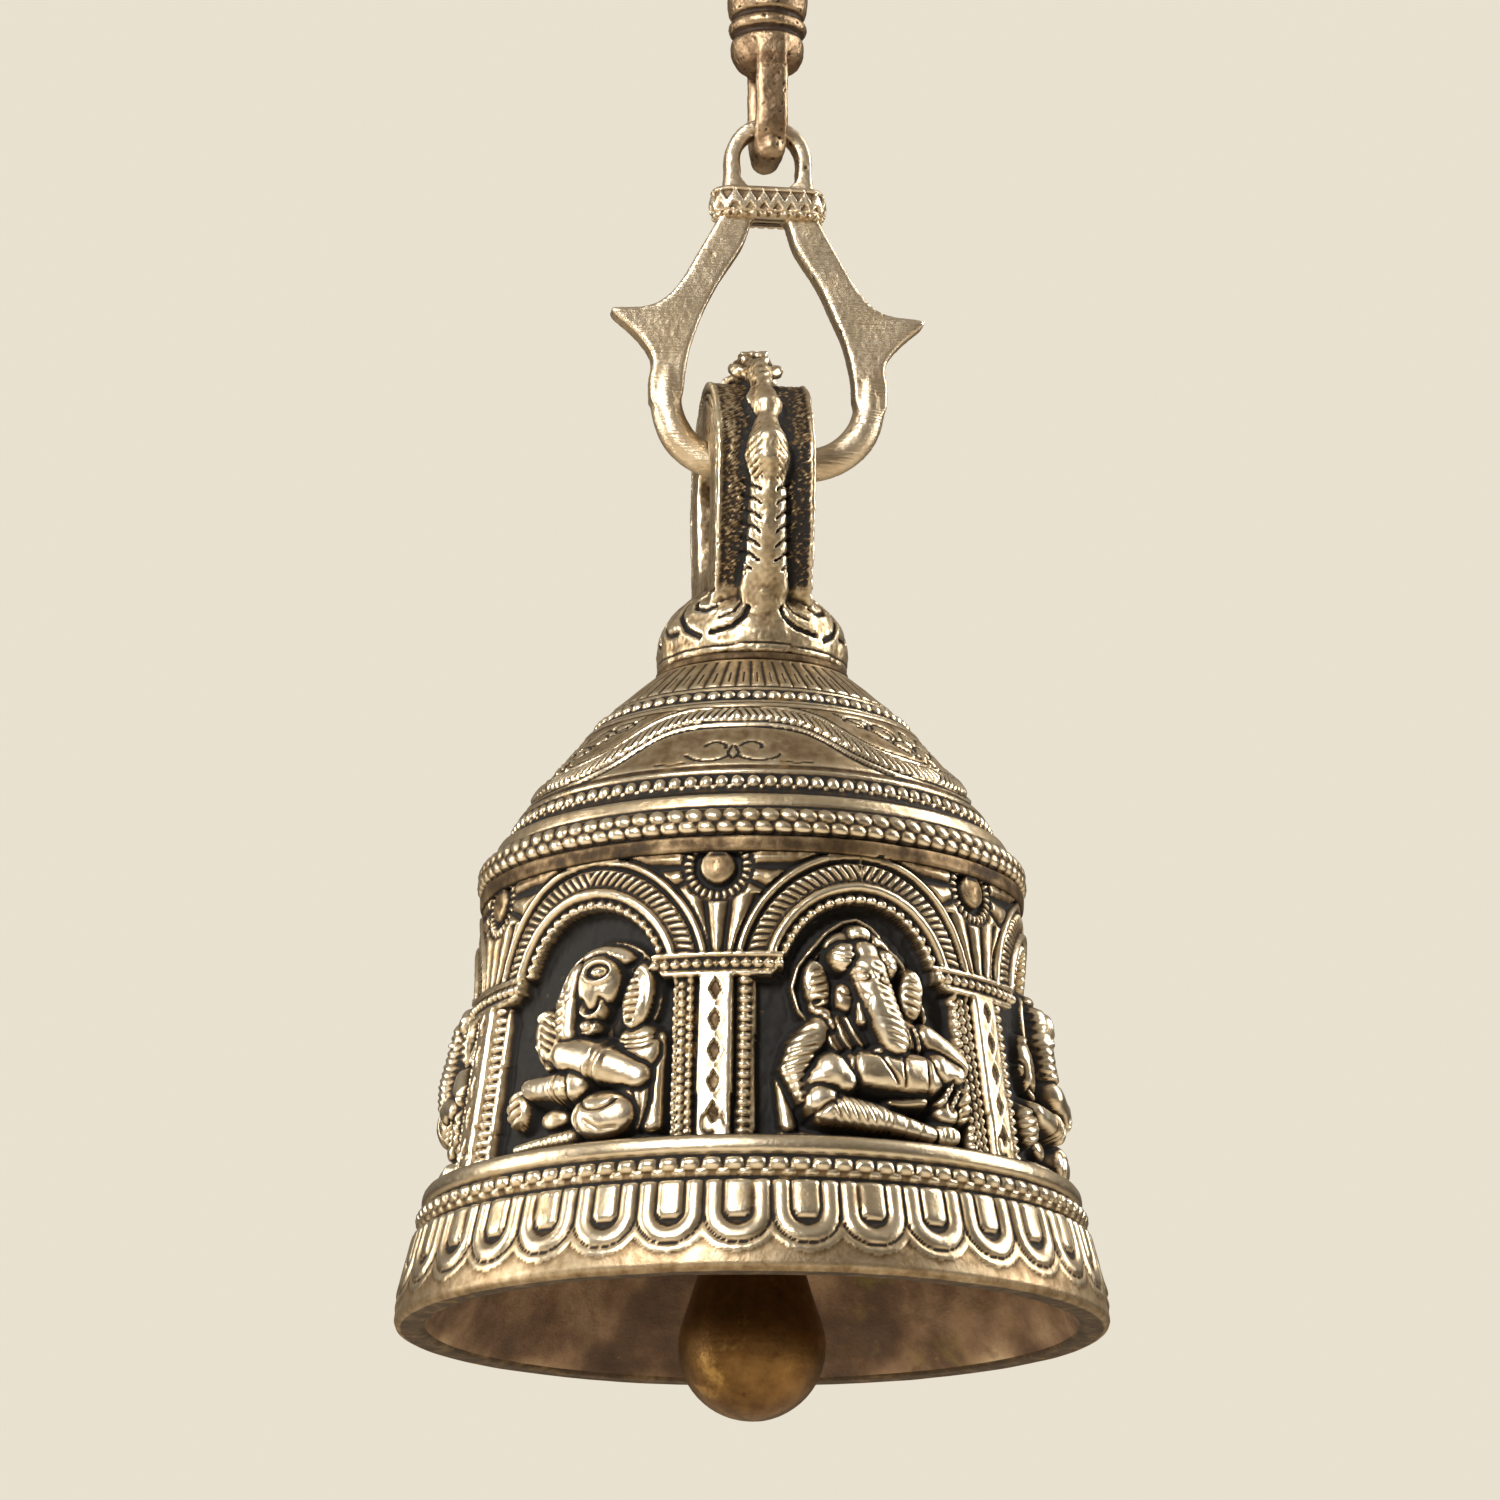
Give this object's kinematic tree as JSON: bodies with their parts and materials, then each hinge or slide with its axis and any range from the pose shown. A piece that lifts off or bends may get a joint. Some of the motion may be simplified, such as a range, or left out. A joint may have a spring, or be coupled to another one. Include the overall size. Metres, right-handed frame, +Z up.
{
  "type": "temple bell",
  "caption": "Hanging cast brass bell with arched niches of seated figures, petal skirt, engraved dome, loop crown, horned stirrup shackle and free-swinging clapper.",
  "frame": {"origin": "centre of the hanging eye's bore at the top of the hanger", "axes": "+Z up along the bell's axis, +X to the right along the shackle's width, +Y away from the viewer through the hanging eye"},
  "size_m": [0.13, 0.13, 0.3067],
  "materials": {
    "bell_brass": "antiqued, dark in the recesses",
    "shackle_brass": "satin brushed",
    "hanger_brass": "dull, browned",
    "clapper_brass": "smooth, dark patina",
    "inner_iron": "rough, oxidised"
  },
  "bodies": {
    "hanger": {"hanger_link": "hanger_brass"},
    "stirrup": {"shackle": "shackle_brass", "shackle_band": "shackle_brass"},
    "bell": {"crown": "bell_brass", "crown_washer": "bell_brass", "bell_shell": "bell_brass", "niche_figures": "bell_brass", "eye_bolt": "inner_iron", "inner_washer": "inner_iron", "inner_nut": "inner_iron"},
    "clapper": {"clapper_rod": "inner_iron", "clapper_bob": "clapper_brass"}
  },
  "joints": [
    {"name": "shackle_swing", "type": "hinge", "parent": "hanger", "child": "stirrup", "pos_m": [0, 0, -0.054], "axis": [0, 1, 0], "range_deg": [-80, 80]},
    {"name": "bell_swing", "type": "hinge", "parent": "stirrup", "child": "bell", "pos_m": [-0.003, 0, -0.11595], "axis": [1, 0, 0], "range_deg": [-80, 80]},
    {"name": "clapper_swing", "type": "hinge", "parent": "bell", "child": "clapper", "pos_m": [-0.003, 0, -0.1815], "axis": [1, 0, 0], "range_deg": [-23.2, 23.2]}
  ]
}
